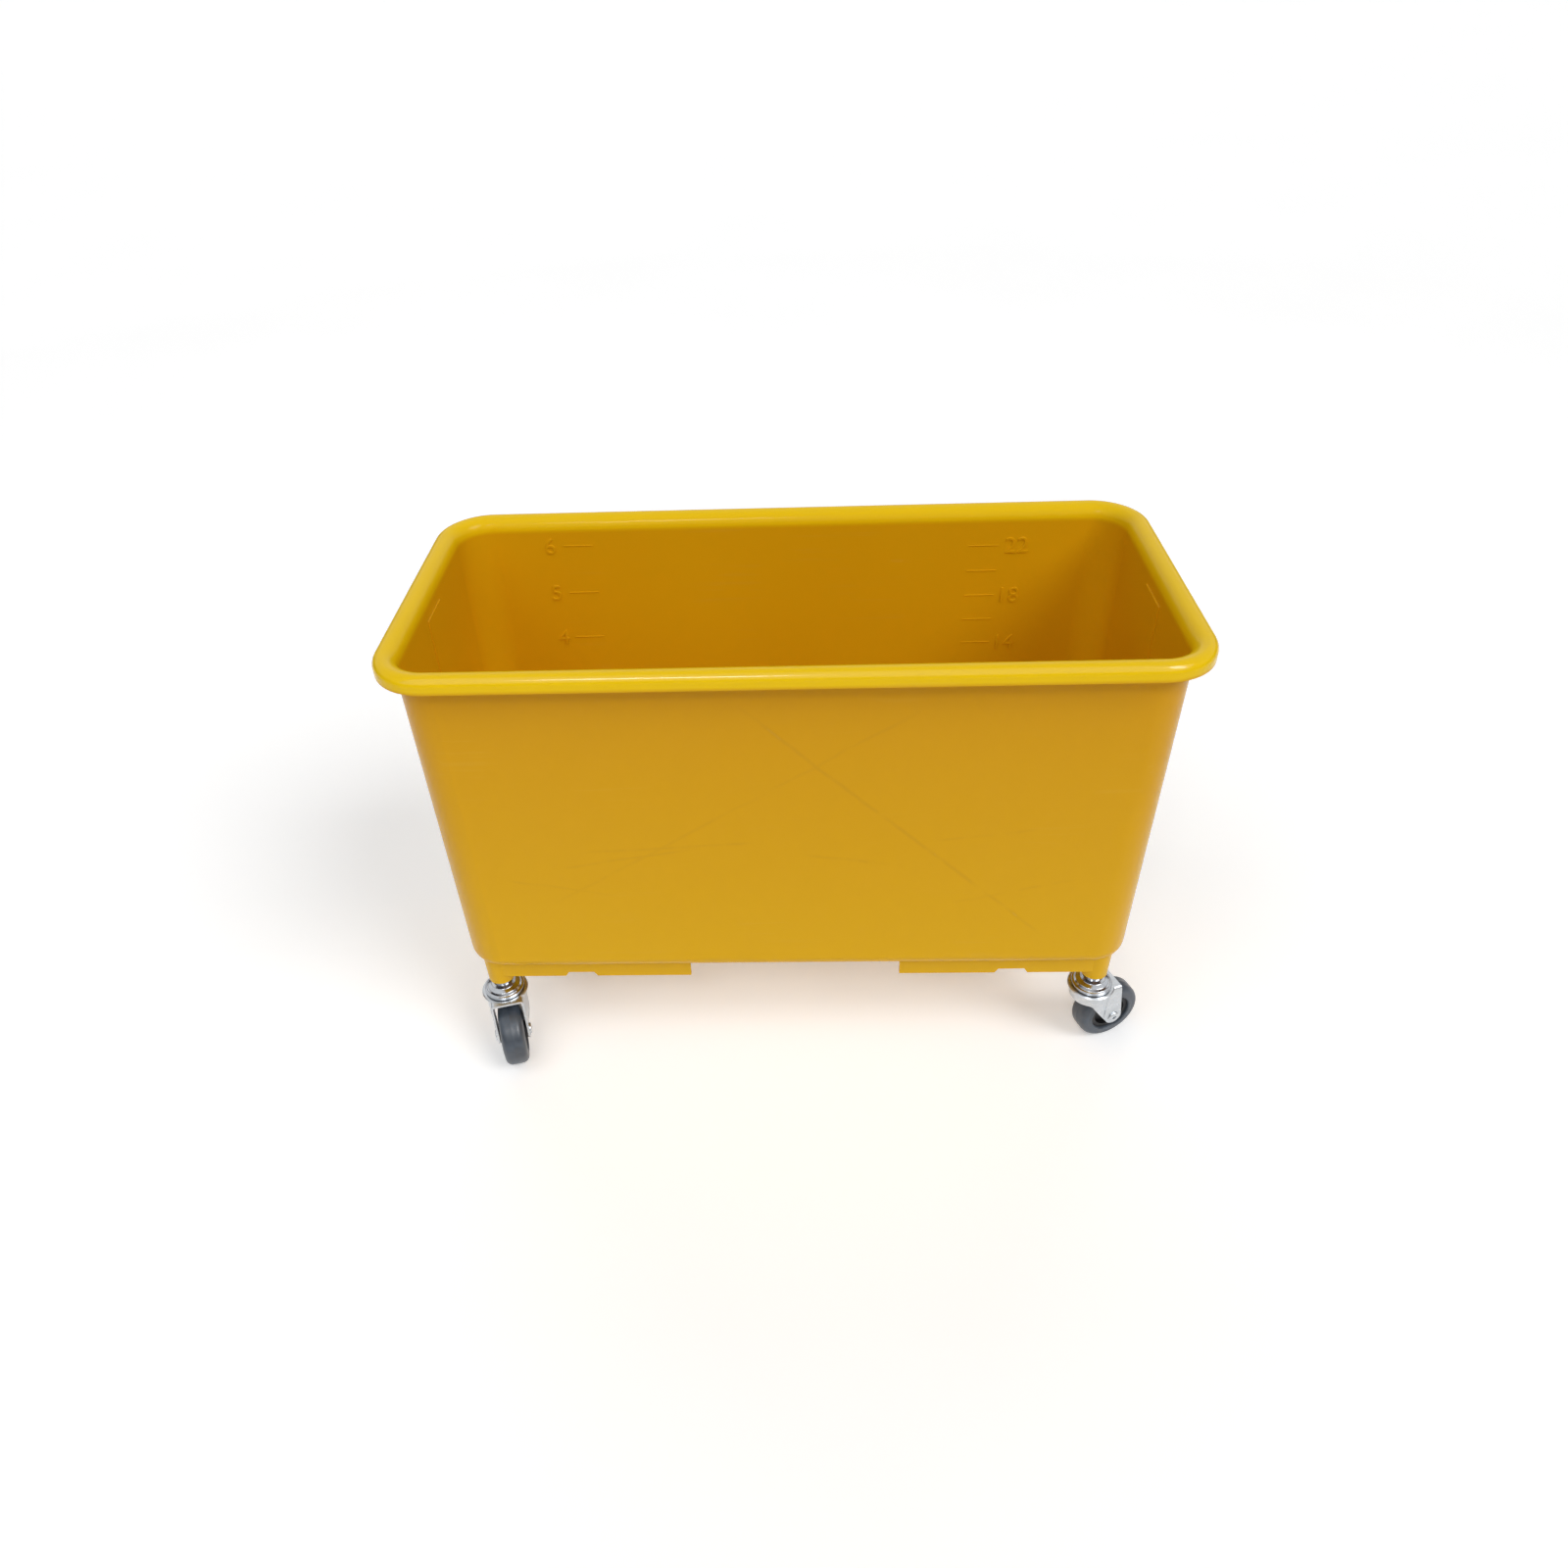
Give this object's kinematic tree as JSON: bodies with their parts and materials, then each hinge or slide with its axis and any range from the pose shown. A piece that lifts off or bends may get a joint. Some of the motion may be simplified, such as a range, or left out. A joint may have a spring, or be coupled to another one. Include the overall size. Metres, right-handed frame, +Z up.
{
  "type": "window washing trolley",
  "caption": "Rectangular plastic tub with a rolled rim and litre marks, on swivel castors with small rubber-tyred wheels.",
  "frame": {"origin": "on the floor under the middle of the tub", "axes": "+X along the tub, +Y to its back, +Z up"},
  "size_m": [0.5296, 0.2526, 0.3585],
  "materials": {
    "tub_plastic": "yellow polypropylene, satin, lightly scuffed",
    "chrome": "bright plated steel",
    "zinc": "bright zinc-plated pressed steel",
    "spring_steel": "plain spring steel",
    "ball_steel": "polished bearing steel",
    "hub_plastic": "near-black nylon",
    "tyre_rubber": "dark slate grey rubber, slightly worn"
  },
  "bodies": {
    "trolley": {"tub": "tub_plastic", "stem_front_left": "chrome", "grip_ring_front_left": "spring_steel", "upper_cup_front_left": "chrome", "lower_cup_front_left": "zinc", "stem_front_right": "chrome", "grip_ring_front_right": "spring_steel", "upper_cup_front_right": "chrome", "lower_cup_front_right": "zinc", "stem_rear_right": "chrome", "grip_ring_rear_right": "spring_steel", "upper_cup_rear_right": "chrome", "lower_cup_rear_right": "zinc", "stem_rear_left": "chrome", "grip_ring_rear_left": "spring_steel", "upper_cup_rear_left": "chrome", "lower_cup_rear_left": "zinc"},
    "swivel_front_left": {"fork_front_left": "zinc", "upper_balls_front_left": "ball_steel", "lower_balls_front_left": "ball_steel", "axle_rivet_front_left": "zinc", "axle_sleeve_front_left": "zinc"},
    "wheel_front_left": {"wheel_hub_front_left": "hub_plastic", "tyre_front_left": "tyre_rubber"},
    "swivel_front_right": {"fork_front_right": "zinc", "upper_balls_front_right": "ball_steel", "lower_balls_front_right": "ball_steel", "axle_rivet_front_right": "zinc", "axle_sleeve_front_right": "zinc"},
    "wheel_front_right": {"wheel_hub_front_right": "hub_plastic", "tyre_front_right": "tyre_rubber"},
    "swivel_rear_right": {"fork_rear_right": "zinc", "upper_balls_rear_right": "ball_steel", "lower_balls_rear_right": "ball_steel", "axle_rivet_rear_right": "zinc", "axle_sleeve_rear_right": "zinc"},
    "wheel_rear_right": {"wheel_hub_rear_right": "hub_plastic", "tyre_rear_right": "tyre_rubber"},
    "swivel_rear_left": {"fork_rear_left": "zinc", "upper_balls_rear_left": "ball_steel", "lower_balls_rear_left": "ball_steel", "axle_rivet_rear_left": "zinc", "axle_sleeve_rear_left": "zinc"},
    "wheel_rear_left": {"wheel_hub_rear_left": "hub_plastic", "tyre_rear_left": "tyre_rubber"}
  },
  "joints": [
    {"name": "castor_swivel_front_left", "type": "hinge", "parent": "trolley", "child": "swivel_front_left", "pos_m": [-0.2239, -0.0845, 0.057], "axis": [0, 0, 1], "continuous": true},
    {"name": "wheel_spin_front_left", "type": "hinge", "parent": "swivel_front_left", "child": "wheel_front_left", "pos_m": [-0.2195, -0.10092, 0.025], "axis": [0.9659, 0.2588, 0], "continuous": true},
    {"name": "castor_swivel_front_right", "type": "hinge", "parent": "trolley", "child": "swivel_front_right", "pos_m": [0.2239, -0.0845, 0.057], "axis": [0, 0, 1], "continuous": true},
    {"name": "wheel_spin_front_right", "type": "hinge", "parent": "swivel_front_right", "child": "wheel_front_right", "pos_m": [0.23966, -0.07813, 0.025], "axis": [-0.3746, 0.9272, 0], "continuous": true},
    {"name": "castor_swivel_rear_right", "type": "hinge", "parent": "trolley", "child": "swivel_rear_right", "pos_m": [0.2239, 0.0845, 0.057], "axis": [0, 0, 1], "continuous": true},
    {"name": "wheel_spin_rear_right", "type": "hinge", "parent": "swivel_rear_right", "child": "wheel_rear_right", "pos_m": [0.2195, 0.10092, 0.025], "axis": [-0.9659, -0.2588, 0], "continuous": true},
    {"name": "castor_swivel_rear_left", "type": "hinge", "parent": "trolley", "child": "swivel_rear_left", "pos_m": [-0.2239, 0.0845, 0.057], "axis": [0, 0, 1], "continuous": true},
    {"name": "wheel_spin_rear_left", "type": "hinge", "parent": "swivel_rear_left", "child": "wheel_rear_left", "pos_m": [-0.23966, 0.07813, 0.025], "axis": [0.3746, -0.9272, 0], "continuous": true}
  ]
}
